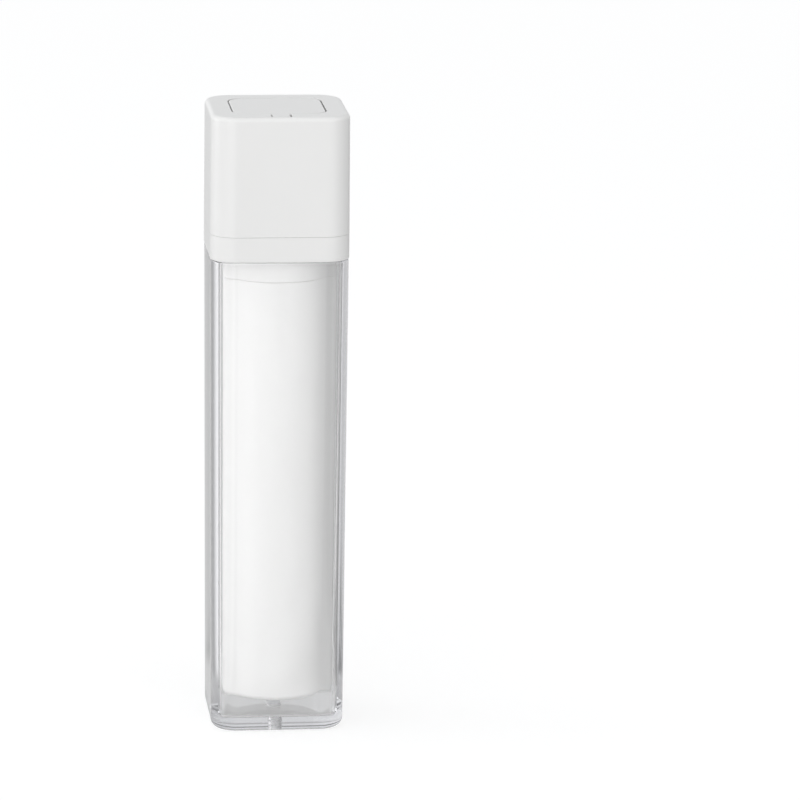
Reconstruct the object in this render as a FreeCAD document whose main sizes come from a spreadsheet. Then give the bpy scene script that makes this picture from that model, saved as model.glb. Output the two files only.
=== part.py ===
import FreeCAD, Part
import math
import os
import Sketcher

# Airless pump bottle, millimetres. The foot's centre is the origin, Z is up and the spout points to -Y.

doc = FreeCAD.newDocument("airless_pump_bottle")
sheet = doc.addObject("Spreadsheet::Sheet", "Sizes")

# Driving sizes: name, value, meaning.
SIZES = [
    ("bottle_width", 34.0, "clear bottle, side of the square at its rim"),
    ("bottle_height", 119.0, "clear bottle, foot to rim"),
    ("foot_step", 0.5, "each side of the clear bottle leans in by this much at the foot"),
    ("corner_radius", 6.5, "upright corners of bottle and head"),
    ("bottle_wall", 2.4, "clear wall"),
    ("bottle_floor", 3.2, "clear floor"),
    ("foot_round", 2.2, "rounding around the foot"),
    ("cavity_corner", 1.5, "upright corners of the cavity, at its floor"),
    ("floor_round", 1.2, "rounding around the cavity floor"),
    ("base_vent_radius", 1.7, "air hole in the clear floor"),
    ("spigot_height", 4.0, "square spigot above the rim, inside the shoulder collar"),
    ("head_step", 0.1, "head stands proud of the bottle on each side"),
    ("band_wall", 1.0, "wall of the shoulder collar's band"),
    ("band_height", 6.4, "rim to the seam"),
    ("rim_gap", 0.15, "gap between rim and band"),
    ("seam_gap", 0.06, "gap between band and turning head"),
    ("head_height", 29.54, "turning head, seam to top"),
    ("head_lean", 0.1, "each side of the head leans in by this much at the top"),
    ("shell_wall", 1.25, "side wall of the head shell"),
    ("shell_top", 1.8, "top wall of the head shell"),
    ("top_round", 1.15, "rounding around the head's top"),
    ("rib_offset", 7.5, "ribs of the head shell, from the middle of a side"),
    ("rib_width", 1.0, "ribs of the head shell"),
    ("button_width", 22.7, "side of the square button"),
    ("button_corner", 4.2, "upright corners of the button"),
    ("button_gap", 0.3, "gap around button and spout"),
    ("button_round", 0.25, "rounding around the top of button and spout"),
    ("button_wall", 1.2, "skirt of the button"),
    ("button_top", 1.8, "top wall of the button"),
    ("spout_width", 4.5, "spout tongue across"),
    ("spout_height", 5.0, "spout tongue, underside to top"),
    ("channel_drop", 2.3, "channel below the button's top"),
    ("channel_radius", 1.2, "channel in button and spout"),
    ("nozzle_radius", 1.5, "nozzle insert"),
    ("nozzle_length", 3.6, "nozzle insert"),
    ("outlet_radius", 0.6, "hole of the nozzle insert"),
    ("under_gap", 3.8, "air below the inner bottle"),
    ("air_gap", 1.7, "air around the inner bottle at the rim"),
    ("inner_wall", 1.2, "wall and floor of the inner bottle"),
    ("inner_round", 1.5, "rounding around the inner bottle's floor"),
    ("inner_vent_radius", 0.9, "air hole in the inner bottle's floor"),
    ("skirt_length", 9.3, "pump collar's skirt below the web of the shoulder collar"),
    ("ring_step", 0.25, "pump collar stands proud of the inner bottle"),
    ("ring_wall", 0.65, "skirt of the pump collar"),
    ("follower_height", 12.2, "follower piston, rim to rim"),
    ("recess_depth", 5.0, "hollow in the follower's upper side"),
    ("wiper_gap", 0.06, "sealing lips to the bores"),
    ("web_height", 1.4, "web of the shoulder collar"),
    ("flange_height", 1.0, "flange of the cam sleeve"),
    ("gasket_height", 0.8, "neck gasket"),
    ("barrel_radius", 4.5, "bore of the pump cylinder"),
    ("barrel_wall", 1.1, "wall of the pump cylinder"),
    ("plug_length", 4.0, "pump housing's plug skirt inside the neck"),
    ("stem_radius", 2.9, "upper stem"),
    ("rod_radius", 1.88, "lower stem"),
    ("rod_bore", 0.9, "bore of the lower stem"),
    ("rod_overlap", 7.2, "lower stem inside the upper stem"),
    ("stem_flange_radius", 6.5, "flange of the upper stem"),
    ("piston_length", 6.85, "pump piston"),
    ("piston_free", 0.9, "free travel of the pump piston on the stem"),
    ("ball_radius", 1.5, "inlet ball"),
    ("inlet_radius", 1.1, "inlet hole below the ball"),
    ("ball_lift", 0.6, "room for the ball to rise"),
    ("spring_length", 12.2, "return spring with the button locked down"),
    ("spring_turns", 7, "turns of the return spring, a whole number"),
    ("spring_radius", 3.4, "return spring, axis to wire"),
    ("wire_radius", 0.35, "wire of the return spring"),
    ("lift_travel", 8.0, "rise of the button over a quarter turn"),
    ("press_travel", 4.5, "stroke of the button"),
    ("sleeve_bore", 8.5, "bore of the lift sleeve"),
    ("sleeve_wall", 1.3, "walls of lift, cam and turn sleeve"),
    ("lip_rise", 7.8, "lugs to the lip of the lift sleeve"),
    ("lip_room", 2.1, "gap between upper stem and lip of the lift sleeve"),
    ("lug_radius", 1.0, "lugs of the lift sleeve"),
    ("slot_gap", 0.2, "lugs to the edges of the slots"),
    ("run_gap", 0.15, "gap between turning or sliding sleeves"),
    ("fit_gap", 0.1, "gap between fixed pieces that locate each other"),
    ("slip_gap", 0.05, "gap between pieces pressed together"),
]


class Size:
    """A length with its present value and the formula that ties it to the sheet."""

    def __init__(self, value, formula):
        self.value = value
        self.formula = formula

    def join(self, other, sign, value):
        return Size(value, "(%s %s %s)" % (self.formula, sign, other.formula))

    def __add__(self, other):
        other = as_size(other)
        return self.join(other, "+", self.value + other.value)

    def __sub__(self, other):
        other = as_size(other)
        return self.join(other, "-", self.value - other.value)

    def __mul__(self, other):
        other = as_size(other)
        return self.join(other, "*", self.value * other.value)

    def __truediv__(self, other):
        other = as_size(other)
        return self.join(other, "/", self.value / other.value)

    def __radd__(self, other):
        return as_size(other) + self

    def __rsub__(self, other):
        return as_size(other) - self

    def __rmul__(self, other):
        return as_size(other) * self


def as_size(number):
    """Plain numbers may stand beside sizes."""
    if isinstance(number, Size):
        return number
    return Size(float(number), "%g" % number)


def read_sizes():
    """Fill the sheet and return its sizes by name."""
    found = {}
    for row, (name, value, meaning) in enumerate(SIZES, 1):
        sheet.set("A%d" % row, meaning)
        sheet.set("B%d" % row, str(value))
        sheet.setAlias("B%d" % row, name)
        found[name] = Size(float(value), "Sizes." + name)
    doc.recompute()
    return found


class Sizes:
    """The sheet's sizes as attributes."""

    def __init__(self, found):
        self.__dict__.update(found)


s = Sizes(read_sizes())


# Helpers for sketches and features.

def new_body(label):
    body = doc.addObject("PartDesign::Body", label)
    body.Label = label
    return body


def new_sketch(body, name, role, offset=None):
    """Sketch on one of the body's own origin planes, moved along the plane's normal by offset."""
    sketch = body.newObject("Sketcher::SketchObject", name)
    plane = [item for item in body.Origin.OriginFeatures if item.Role == role][0]
    sketch.AttachmentSupport = [(plane, "")]
    sketch.MapMode = "FlatFace"
    if offset is not None:
        sketch.setExpression("AttachmentOffset.Base.z", offset.formula)
        sketch.AttachmentOffset = FreeCAD.Placement(
            FreeCAD.Vector(0, 0, offset.value), FreeCAD.Rotation()
        )
    return sketch


def tie(sketch, constraint, size):
    """Add a dimension and bind it to the sheet."""
    index = sketch.addConstraint(constraint)
    sketch.setExpression("Constraints[%d]" % index, size.formula)


def locate(sketch, item, end, across, up):
    """Tie one point of a sketch to the sketch's origin; both lengths are positive or nought."""
    across = as_size(across)
    up = as_size(up)
    if across.value == 0:
        sketch.addConstraint(Sketcher.Constraint("PointOnObject", item, end, -2))
    else:
        tie(sketch, Sketcher.Constraint("DistanceX", -1, 1, item, end, across.value), across)
    if up.value == 0:
        sketch.addConstraint(Sketcher.Constraint("PointOnObject", item, end, -1))
    else:
        tie(sketch, Sketcher.Constraint("DistanceY", -1, 1, item, end, up.value), up)


def draw_outline(sketch, points):
    """Closed outline through points given as (across, up)."""
    places = [
        FreeCAD.Vector(as_size(across).value, as_size(up).value, 0) for across, up in points
    ]
    first = sketch.GeometryCount
    count = len(points)
    for k in range(count):
        sketch.addGeometry(Part.LineSegment(places[k], places[(k + 1) % count]), False)
    for k in range(count):
        following = first + (k + 1) % count
        sketch.addConstraint(Sketcher.Constraint("Coincident", first + k, 2, following, 1))
    for k, (across, up) in enumerate(points):
        locate(sketch, first + k, 1, across, up)


def draw_square(sketch, half, radius):
    """Square with rounded corners around the sketch's origin."""
    reach = half.value
    flat = half.value - radius.value
    normal = FreeCAD.Vector(0, 0, 1)

    def line(x1, y1, x2, y2):
        start = FreeCAD.Vector(x1, y1, 0)
        sketch.addGeometry(Part.LineSegment(start, FreeCAD.Vector(x2, y2, 0)), False)

    def arc(x, y, quarter):
        circle = Part.Circle(FreeCAD.Vector(x, y, 0), normal, radius.value)
        begin = quarter * math.pi / 2
        sketch.addGeometry(Part.ArcOfCircle(circle, begin, begin + math.pi / 2), False)

    line(reach, -flat, reach, flat)
    arc(flat, flat, 0)
    line(flat, reach, -flat, reach)
    arc(-flat, flat, 1)
    line(-reach, flat, -reach, -flat)
    arc(-flat, -flat, 2)
    line(-flat, -reach, flat, -reach)
    arc(flat, -flat, 3)
    for k in range(8):
        sketch.addConstraint(Sketcher.Constraint("Tangent", k, 2, (k + 1) % 8, 1))
    sketch.addConstraint(Sketcher.Constraint("Vertical", 0))
    sketch.addConstraint(Sketcher.Constraint("Horizontal", 2))
    sketch.addConstraint(Sketcher.Constraint("Vertical", 4))
    sketch.addConstraint(Sketcher.Constraint("Horizontal", 6))
    for k in (3, 5, 7):
        sketch.addConstraint(Sketcher.Constraint("Equal", 1, k))
    tie(sketch, Sketcher.Constraint("Radius", 1, radius.value), radius)
    tie(sketch, Sketcher.Constraint("DistanceX", -1, 1, 0, 1, reach), half)
    tie(sketch, Sketcher.Constraint("DistanceY", -1, 1, 2, 1, reach), half)
    tie(sketch, Sketcher.Constraint("DistanceX", 4, 1, -1, 1, reach), half)
    tie(sketch, Sketcher.Constraint("DistanceY", 6, 1, -1, 1, reach), half)


def draw_box(sketch, half, near, far):
    """Rectangle from -half to half across, and from near to far below the sketch's origin."""
    corners = [
        FreeCAD.Vector(-half.value, -far.value, 0),
        FreeCAD.Vector(half.value, -far.value, 0),
        FreeCAD.Vector(half.value, -near.value, 0),
        FreeCAD.Vector(-half.value, -near.value, 0),
    ]
    for k in range(4):
        sketch.addGeometry(Part.LineSegment(corners[k], corners[(k + 1) % 4]), False)
    for k in range(4):
        sketch.addConstraint(Sketcher.Constraint("Coincident", k, 2, (k + 1) % 4, 1))
    sketch.addConstraint(Sketcher.Constraint("Horizontal", 0))
    sketch.addConstraint(Sketcher.Constraint("Vertical", 1))
    sketch.addConstraint(Sketcher.Constraint("Horizontal", 2))
    sketch.addConstraint(Sketcher.Constraint("Vertical", 3))
    tie(sketch, Sketcher.Constraint("DistanceX", -1, 1, 1, 1, half.value), half)
    tie(sketch, Sketcher.Constraint("DistanceX", 0, 1, -1, 1, half.value), half)
    tie(sketch, Sketcher.Constraint("DistanceY", 0, 1, -1, 1, far.value), far)
    tie(sketch, Sketcher.Constraint("DistanceY", 2, 1, -1, 1, near.value), near)


def draw_circle(sketch, radius, across, up):
    """Circle whose centre is tied to the sketch's origin."""
    centre = FreeCAD.Vector(as_size(across).value, as_size(up).value, 0)
    item = sketch.addGeometry(Part.Circle(centre, FreeCAD.Vector(0, 0, 1), radius.value), False)
    locate(sketch, item, 3, across, up)
    tie(sketch, Sketcher.Constraint("Radius", item, radius.value), radius)


def revolve(body, name, points, cut=False):
    """Turn an outline of (radius, height) points about Z, as material or as a cut."""
    sketch = new_sketch(body, name + "_outline", "XZ_Plane")
    draw_outline(sketch, points)
    kind = "PartDesign::Groove" if cut else "PartDesign::Revolution"
    feature = body.newObject(kind, name)
    feature.Profile = sketch
    feature.ReferenceAxis = (sketch, ["V_Axis"])
    feature.Angle = 360
    return feature


def square_sketch(body, name, half, radius, height):
    sketch = new_sketch(body, name, "XY_Plane", as_size(height))
    draw_square(sketch, half, radius)
    return sketch


def raise_pad(body, name, sketch, length):
    """Material from the sketch upwards."""
    pad = body.newObject("PartDesign::Pad", name)
    pad.Profile = sketch
    pad.setExpression("Length", length.formula)
    return pad


def raise_cut(body, name, sketch, length):
    """Cut from the sketch upwards."""
    pocket = body.newObject("PartDesign::Pocket", name)
    pocket.Profile = sketch
    pocket.Type = 0
    pocket.Reversed = True
    pocket.setExpression("Length", length.formula)
    return pocket


def cross_cut(body, name, sketch, length):
    """Cut to both sides of the sketch, length in all."""
    pocket = body.newObject("PartDesign::Pocket", name)
    pocket.Profile = sketch
    pocket.Type = 0
    pocket.Midplane = True
    pocket.setExpression("Length", length.formula)
    return pocket


def tapered(body, name, sketch, length, lean, cut=False):
    """Material or a cut from the sketch upwards, each side leaning out by lean over its length."""
    kind = "PartDesign::Pocket" if cut else "PartDesign::Pad"
    feature = body.newObject(kind, name)
    feature.Profile = sketch
    feature.Type = 0
    feature.Reversed = cut
    feature.setExpression("Length", length.formula)
    feature.setExpression("TaperAngle", "atan(%s)" % (lean / length).formula)
    return feature


def repeat(body, name, feature, sketch, count):
    """Repeat a feature around Z; the sketch lies on the XZ plane."""
    pattern = body.newObject("PartDesign::PolarPattern", name)
    pattern.Originals = [feature]
    pattern.Axis = (sketch, ["V_Axis"])
    pattern.Angle = 360
    pattern.Occurrences = count
    body.Tip = pattern
    return pattern


def round_edges(body, name, feature, radius, chosen):
    """Round those edges of a feature that chosen picks."""
    doc.recompute()
    names = [
        "Edge%d" % (k + 1) for k, edge in enumerate(feature.Shape.Edges) if chosen(edge.BoundBox)
    ]
    rounding = body.newObject("PartDesign::Fillet", name)
    rounding.Base = (feature, names)
    rounding.setExpression("Radius", radius.formula)
    return rounding


# Levels and radii that several pieces share.

bottle_half = s.bottle_width / 2
foot_half = bottle_half - s.foot_step
cavity_half = bottle_half - s.bottle_wall
cavity_foot_half = foot_half - s.bottle_wall

head_half = bottle_half + s.head_step
head_top_half = head_half - s.head_lean
band_half = head_half - s.band_wall
band_corner = s.corner_radius - s.band_wall
shell_half = head_half - s.shell_wall
shell_top_half = head_top_half - s.shell_wall
shell_corner = s.corner_radius - s.shell_wall

rim_z = s.bottle_height
web_z = rim_z + s.spigot_height
web_top_z = web_z + s.web_height
seam_z = rim_z + s.band_height
shell_z = seam_z + s.seam_gap
top_z = shell_z + s.head_height

ring_radius = shell_half - 2 * s.fit_gap
ring_bore = ring_radius - 0.75
clamp_radius = ring_bore - s.slip_gap

inner_radius = cavity_half - s.air_gap
bore_radius = inner_radius - s.inner_wall
collar_radius = inner_radius + s.ring_step
collar_bore = collar_radius - s.ring_wall
neck_radius = collar_bore - s.slip_gap
inner_z = s.bottle_floor + s.under_gap
inner_floor_z = inner_z + s.inner_wall
skirt_z = web_z - s.skirt_length
shoulder_z = skirt_z - 2 * s.fit_gap

clamp_z = web_top_z + 0.8
housing_flange_z = clamp_z - 1.8
housing_under_z = housing_flange_z - 1.5
neck_z = housing_under_z - s.gasket_height
cam_flange_z = clamp_z + s.flange_height
barrel_top_z = cam_flange_z + 2.3
barrel_outside = s.barrel_radius + s.barrel_wall

guide_under_z = barrel_top_z - 0.9
piston_top_z = guide_under_z - 0.2 - s.piston_free - s.lift_travel
piston_z = piston_top_z - s.piston_length
seat_z = piston_z - s.slip_gap
spring_top_z = seat_z - 1.0
spring_z = spring_top_z - s.spring_length
retainer_z = spring_z - 1.2
ball_z = retainer_z - s.ball_lift - s.ball_radius
chamber_radius = s.ball_radius + 0.8
seat_drop = (s.ball_radius * s.ball_radius - s.inlet_radius * s.inlet_radius).value ** 0.5
seat_edge_z = ball_z - s.ball_radius * (seat_drop / s.ball_radius.value) - 0.02
inlet_z = seat_edge_z - 2.4

lift_radius = s.sleeve_bore + s.sleeve_wall
cam_bore = lift_radius + s.run_gap
cam_radius = cam_bore + s.sleeve_wall
turn_bore = cam_radius + s.run_gap
turn_radius = turn_bore + s.sleeve_wall
bead_radius = cam_radius + 0.6
groove_radius = bead_radius + s.run_gap
lug_reach = turn_radius - 0.35
slot_half = s.lug_radius + s.slot_gap
slot_rise = slot_half * 1.09

turn_z = cam_flange_z + s.run_gap
groove_z = turn_z + 0.75
bead_z = groove_z + s.run_gap
bead_top_z = bead_z + 0.7
lug_z = bead_top_z + 0.15 + slot_rise
cam_top_z = lug_z + s.lift_travel + slot_rise + 0.9
turn_top_z = cam_top_z + 0.4
lift_z = cam_flange_z + 1.2
lip_z = lug_z + s.lip_rise
lip_top_z = lip_z + 1.4
stem_flange_z = lip_z - s.slip_gap - 1.2
guide_top_z = stem_flange_z - s.press_travel - 0.7

button_half = s.button_width / 2
opening_half = button_half + s.button_gap
opening_corner = s.button_corner + s.button_gap
skirt_bottom_z = turn_top_z + 0.4 + s.press_travel
button_under_z = top_z - s.button_top
channel_z = top_z - s.channel_drop
spout_z = top_z - s.spout_height
spout_half = s.spout_width / 2
spout_tip = shell_top_half - s.button_gap
socket_z = lip_top_z + 0.6
stem_top_z = channel_z - s.channel_radius - 0.9


# Clear outer bottle: leaning walls, cavity, spigot and air hole.

outer_bottle = new_body("outer_bottle")
foot_corner = s.corner_radius - s.foot_step
outer_foot = square_sketch(outer_bottle, "foot_square", foot_half, foot_corner, 0)
outer_block = tapered(outer_bottle, "outer_block", outer_foot, rim_z, s.foot_step)
round_edges(
    outer_bottle, "foot_rounding", outer_block, s.foot_round, lambda box: box.ZMax < 0.01
)
spigot_half = band_half - s.fit_gap
spigot_corner = band_corner - s.fit_gap
spigot_square = square_sketch(outer_bottle, "spigot_square", spigot_half, spigot_corner, rim_z)
raise_pad(outer_bottle, "spigot", spigot_square, s.spigot_height)
cavity_foot = square_sketch(
    outer_bottle, "cavity_foot", cavity_foot_half, s.cavity_corner, s.bottle_floor
)
cavity = tapered(
    outer_bottle, "cavity", cavity_foot, web_z - s.bottle_floor, s.foot_step, cut=True
)
round_edges(
    outer_bottle,
    "cavity_rounding",
    cavity,
    s.floor_round,
    lambda box: abs(box.ZMin - s.bottle_floor.value) < 0.01 and box.ZMax - box.ZMin < 0.01,
)
base_vent_sketch = new_sketch(outer_bottle, "base_vent_circle", "XY_Plane")
draw_circle(base_vent_sketch, s.base_vent_radius, 0, 0)
raise_cut(outer_bottle, "base_vent", base_vent_sketch, s.bottle_floor)


# White inner bottle with its neck, neck groove and air hole.

inner_bottle = new_body("inner_bottle")
neck_groove = neck_radius - 0.25
neck_groove_z = shoulder_z + 2.7
inner_wall_turned = revolve(
    inner_bottle,
    "inner_wall",
    [
        (s.inner_vent_radius, inner_z),
        (inner_radius, inner_z),
        (inner_radius, shoulder_z),
        (neck_radius, shoulder_z),
        (neck_radius, neck_groove_z),
        (neck_groove, neck_groove_z + 0.25),
        (neck_groove, neck_groove_z + 0.75),
        (neck_radius, neck_groove_z + 1.0),
        (neck_radius, neck_z),
        (bore_radius, neck_z),
        (bore_radius, inner_floor_z),
        (s.inner_vent_radius, inner_floor_z),
    ],
)
round_edges(
    inner_bottle,
    "inner_rounding",
    inner_wall_turned,
    s.inner_round,
    lambda box: box.ZMax < inner_z.value + 0.01 and box.XMax > inner_radius.value - 0.01,
)


# Follower piston with a wiper lip at each end.

follower_piston = new_body("follower_piston")
wiper_radius = bore_radius - s.wiper_gap
follower_waist = wiper_radius - 0.5
follower_inside = follower_waist - 1.2
follower_z = inner_floor_z + s.fit_gap
follower_top_z = follower_z + s.follower_height
recess_z = follower_top_z - s.recess_depth
revolve(
    follower_piston,
    "follower",
    [
        (0, recess_z - 1.4),
        (follower_inside, recess_z - 1.4),
        (follower_inside, follower_z + 0.8),
        (wiper_radius - 0.6, follower_z),
        (wiper_radius, follower_z),
        (wiper_radius, follower_z + 0.8),
        (follower_waist, follower_z + 1.8),
        (follower_waist, follower_top_z - 1.8),
        (wiper_radius, follower_top_z - 0.8),
        (wiper_radius, follower_top_z),
        (wiper_radius - 0.6, follower_top_z),
        (follower_inside, follower_top_z - 0.8),
        (follower_inside, recess_z),
        (0, recess_z),
    ],
)


# Gasket on the neck.

neck_gasket = new_body("neck_gasket")
plug_radius = bore_radius - s.slip_gap
revolve(
    neck_gasket,
    "gasket_ring",
    [
        (plug_radius + s.fit_gap, neck_z),
        (neck_radius - s.fit_gap, neck_z),
        (neck_radius - s.fit_gap, housing_under_z),
        (plug_radius + s.fit_gap, housing_under_z),
    ],
)


# Pump collar: skirt with a snap bead, outward flange and inward web over the pump's flange.

pump_collar = new_body("pump_collar")
clamp_bore = barrel_outside + 2.4
snap_radius = collar_bore - 0.15
revolve(
    pump_collar,
    "collar_ring",
    [
        (collar_bore, skirt_z),
        (collar_radius, skirt_z),
        (collar_radius, web_top_z),
        (clamp_radius, web_top_z),
        (clamp_radius, clamp_z),
        (clamp_bore, clamp_z),
        (clamp_bore, housing_flange_z),
        (collar_bore, housing_flange_z),
        (collar_bore, neck_groove_z + 0.85),
        (snap_radius, neck_groove_z + 0.7),
        (snap_radius, neck_groove_z + 0.3),
        (collar_bore, neck_groove_z + 0.15),
    ],
)


# Pump housing: barrel, flange with plug skirt, ball chamber, seat and inlet.

pump_housing = new_body("pump_housing")
plug_inside = plug_radius - 0.8
plug_z = housing_under_z - s.plug_length
housing_flange_radius = collar_bore - 2 * s.fit_gap
nose_radius = chamber_radius + 1.3
revolve(
    pump_housing,
    "housing",
    [
        (s.inlet_radius, inlet_z),
        (nose_radius, inlet_z),
        (nose_radius, inlet_z + 2.0),
        (barrel_outside, inlet_z + 4.0),
        (barrel_outside, housing_under_z),
        (plug_inside, housing_under_z),
        (plug_inside, plug_z),
        (plug_radius, plug_z),
        (plug_radius, housing_under_z),
        (housing_flange_radius, housing_under_z),
        (housing_flange_radius, housing_flange_z),
        (barrel_outside, housing_flange_z),
        (barrel_outside, barrel_top_z),
        (s.barrel_radius, barrel_top_z),
        (s.barrel_radius, retainer_z),
        (chamber_radius, retainer_z),
        (chamber_radius, seat_edge_z + chamber_radius - s.inlet_radius),
        (s.inlet_radius, seat_edge_z),
    ],
)


# Ball retainer: ring with three notches that let the product past the raised ball.

ball_retainer = new_body("ball_retainer")
retainer_hole = s.ball_radius - 0.5
revolve(
    ball_retainer,
    "retainer_ring",
    [
        (retainer_hole, retainer_z),
        (s.barrel_radius - s.slip_gap, retainer_z),
        (s.barrel_radius - s.slip_gap, spring_z),
        (retainer_hole, spring_z),
    ],
)
notch_sketch = new_sketch(ball_retainer, "notch_box", "XY_Plane", retainer_z)
draw_box(notch_sketch, as_size(0.45), as_size(0.5), retainer_hole + 1.0)
notch = raise_cut(ball_retainer, "notch", notch_sketch, as_size(1.2))
notches = ball_retainer.newObject("PartDesign::PolarPattern", "notches")
notches.Originals = [notch]
notches.Axis = (notch_sketch, ["N_Axis"])
notches.Angle = 360
notches.Occurrences = 3
ball_retainer.Tip = notches


# Inlet ball on its seat.

inlet_ball = doc.addObject("Part::Sphere", "inlet_ball")
inlet_ball.Label = "inlet_ball"
inlet_ball.setExpression("Radius", s.ball_radius.formula)
inlet_ball.setExpression("Placement.Base.z", ball_z.formula)


# Pump piston with a sealing lip at each end.

pump_piston = new_body("pump_piston")
lip_radius = s.barrel_radius - s.slip_gap
piston_waist = lip_radius - 0.75
piston_bore = s.rod_radius + 0.12
revolve(
    pump_piston,
    "piston_turned",
    [
        (piston_bore, piston_z),
        (lip_radius, piston_z),
        (lip_radius, piston_z + 1.0),
        (piston_waist, piston_z + 1.8),
        (piston_waist, piston_top_z - 1.8),
        (lip_radius, piston_top_z - 1.0),
        (lip_radius, piston_top_z),
        (piston_bore, piston_top_z),
    ],
)


# Lower stem: spring peg, seat flange, hollow rod and side ports.

lower_stem = new_body("lower_stem")
seat_radius = s.barrel_radius - 0.6
peg_radius = s.spring_radius - s.wire_radius - 0.4
stem_end_z = piston_top_z + s.piston_free
rod_top_z = stem_end_z + s.rod_overlap
rod = revolve(
    lower_stem,
    "rod",
    [
        (0, spring_top_z - 1.5),
        (peg_radius, spring_top_z - 1.5),
        (peg_radius, spring_top_z),
        (seat_radius, spring_top_z),
        (seat_radius, seat_z),
        (s.rod_radius, seat_z),
        (s.rod_radius, rod_top_z),
        (s.rod_bore, rod_top_z),
        (s.rod_bore, seat_z + 0.5),
        (0, seat_z + 0.5),
    ],
)
port_sketch = new_sketch(lower_stem, "port_circle", "YZ_Plane")
draw_circle(port_sketch, as_size(0.45), 0, seat_z + 1.0)
cross_cut(lower_stem, "side_ports", port_sketch, s.rod_radius * 3)


# Upper stem: tube with the flange that the lift sleeve holds down.

upper_stem = new_body("upper_stem")
stem_bore = s.rod_radius + 0.02
revolve(
    upper_stem,
    "stem_tube",
    [
        (stem_bore, stem_end_z),
        (s.stem_radius, stem_end_z),
        (s.stem_radius, stem_flange_z),
        (s.stem_flange_radius, stem_flange_z),
        (s.stem_flange_radius, stem_flange_z + 1.2),
        (s.stem_radius, stem_flange_z + 1.2),
        (s.stem_radius, stem_top_z),
        (stem_bore, stem_top_z),
    ],
)


# Stem guide: cap over the barrel's top with a plug inside it.

stem_guide = new_body("stem_guide")
guide_bore = s.stem_radius + 0.1
guide_inside = barrel_outside + s.slip_gap
guide_radius = guide_inside + 0.9
guide_neck = guide_bore + 1.6
revolve(
    stem_guide,
    "guide_cap",
    [
        (guide_bore, guide_under_z),
        (lip_radius, guide_under_z),
        (lip_radius, barrel_top_z),
        (guide_inside, barrel_top_z),
        (guide_inside, housing_flange_z + 0.2),
        (guide_radius, housing_flange_z + 0.2),
        (guide_radius, barrel_top_z + 0.8),
        (guide_neck, barrel_top_z + 0.8),
        (guide_neck, guide_top_z),
        (guide_bore, guide_top_z),
    ],
)


# Shoulder collar: square band, web on the spigot and a ring that locates the clamped flanges.

shoulder_collar = new_body("shoulder_collar")
band_z = rim_z + s.rim_gap
band_square = square_sketch(shoulder_collar, "band_square", head_half, s.corner_radius, band_z)
raise_pad(shoulder_collar, "band", band_square, seam_z - band_z)
band_lower = square_sketch(shoulder_collar, "band_lower", band_half, band_corner, band_z)
raise_cut(shoulder_collar, "band_room", band_lower, web_z - band_z)
band_upper = square_sketch(shoulder_collar, "band_upper", band_half, band_corner, web_top_z)
raise_cut(shoulder_collar, "band_top_room", band_upper, seam_z - web_top_z)
ring_top_z = shell_z + 0.45
revolve(
    shoulder_collar,
    "web_ring",
    [
        (ring_bore, web_z + 0.2),
        (ring_radius, web_z + 0.2),
        (ring_radius, ring_top_z),
        (ring_bore, ring_top_z),
    ],
)
revolve(
    shoulder_collar,
    "web_bore",
    [
        (0, band_z),
        (collar_radius + s.fit_gap, band_z),
        (collar_radius + s.fit_gap, seam_z),
        (0, seam_z),
    ],
    cut=True,
)


# Cam sleeve: clamped flange, retaining bead and two helical slots of a quarter turn.

cam_sleeve = new_body("cam_sleeve")
revolve(
    cam_sleeve,
    "cam_tube",
    [
        (cam_bore, clamp_z),
        (clamp_radius, clamp_z),
        (clamp_radius, cam_flange_z),
        (cam_radius, cam_flange_z),
        (cam_radius, bead_z),
        (bead_radius, bead_z + 0.2),
        (bead_radius, bead_top_z - 0.2),
        (cam_radius, bead_top_z),
        (cam_radius, cam_top_z),
        (cam_bore, cam_top_z),
    ],
)
slot_sketch = new_sketch(cam_sleeve, "slot_section", "XZ_Plane")
draw_outline(
    slot_sketch,
    [
        (cam_bore - 0.6, lug_z - slot_rise),
        (cam_radius + 0.6, lug_z - slot_rise),
        (cam_radius + 0.6, lug_z + slot_rise),
        (cam_bore - 0.6, lug_z + slot_rise),
    ],
)
slot = cam_sleeve.newObject("PartDesign::SubtractiveHelix", "slot")
slot.Profile = slot_sketch
slot.ReferenceAxis = (slot_sketch, ["V_Axis"])
slot.Mode = 0
slot.setExpression("Pitch", (s.lift_travel * 4).formula)
slot.setExpression("Height", s.lift_travel.formula)
slot.Angle = 0
slot.LeftHanded = False
slot.Reversed = False
slots = repeat(cam_sleeve, "slots", slot, slot_sketch, 2)
low_sketch = new_sketch(cam_sleeve, "low_end_circle", "YZ_Plane")
draw_circle(low_sketch, slot_half, 0, lug_z)
cross_cut(cam_sleeve, "low_ends", low_sketch, (cam_radius + 1.0) * 2)
high_sketch = new_sketch(cam_sleeve, "high_end_circle", "XZ_Plane")
draw_circle(high_sketch, slot_half, 0, lug_z + s.lift_travel)
cross_cut(cam_sleeve, "high_ends", high_sketch, (cam_radius + 1.0) * 2)


# Turn sleeve: tube with a groove for the bead, two upright slots and a square flange in the head shell.

turn_sleeve = new_body("turn_sleeve")
turn_flange_z = turn_top_z - 1.5
turn_flange_half = shell_top_half - 0.03
turn_flange_corner = shell_corner - 0.03
flange_square = square_sketch(
    turn_sleeve, "flange_square", turn_flange_half, turn_flange_corner, turn_flange_z
)
raise_pad(turn_sleeve, "turn_flange", flange_square, turn_top_z - turn_flange_z)
revolve(
    turn_sleeve,
    "turn_tube",
    [
        (0, turn_z),
        (turn_radius, turn_z),
        (turn_radius, turn_top_z),
        (0, turn_top_z),
    ],
)
revolve(
    turn_sleeve,
    "turn_bore",
    [
        (0, turn_z),
        (turn_bore, turn_z),
        (turn_bore, groove_z),
        (groove_radius, groove_z),
        (groove_radius, bead_top_z + s.run_gap),
        (turn_bore, bead_top_z + s.run_gap + 0.4),
        (turn_bore, turn_top_z),
        (0, turn_top_z),
    ],
    cut=True,
)
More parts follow.
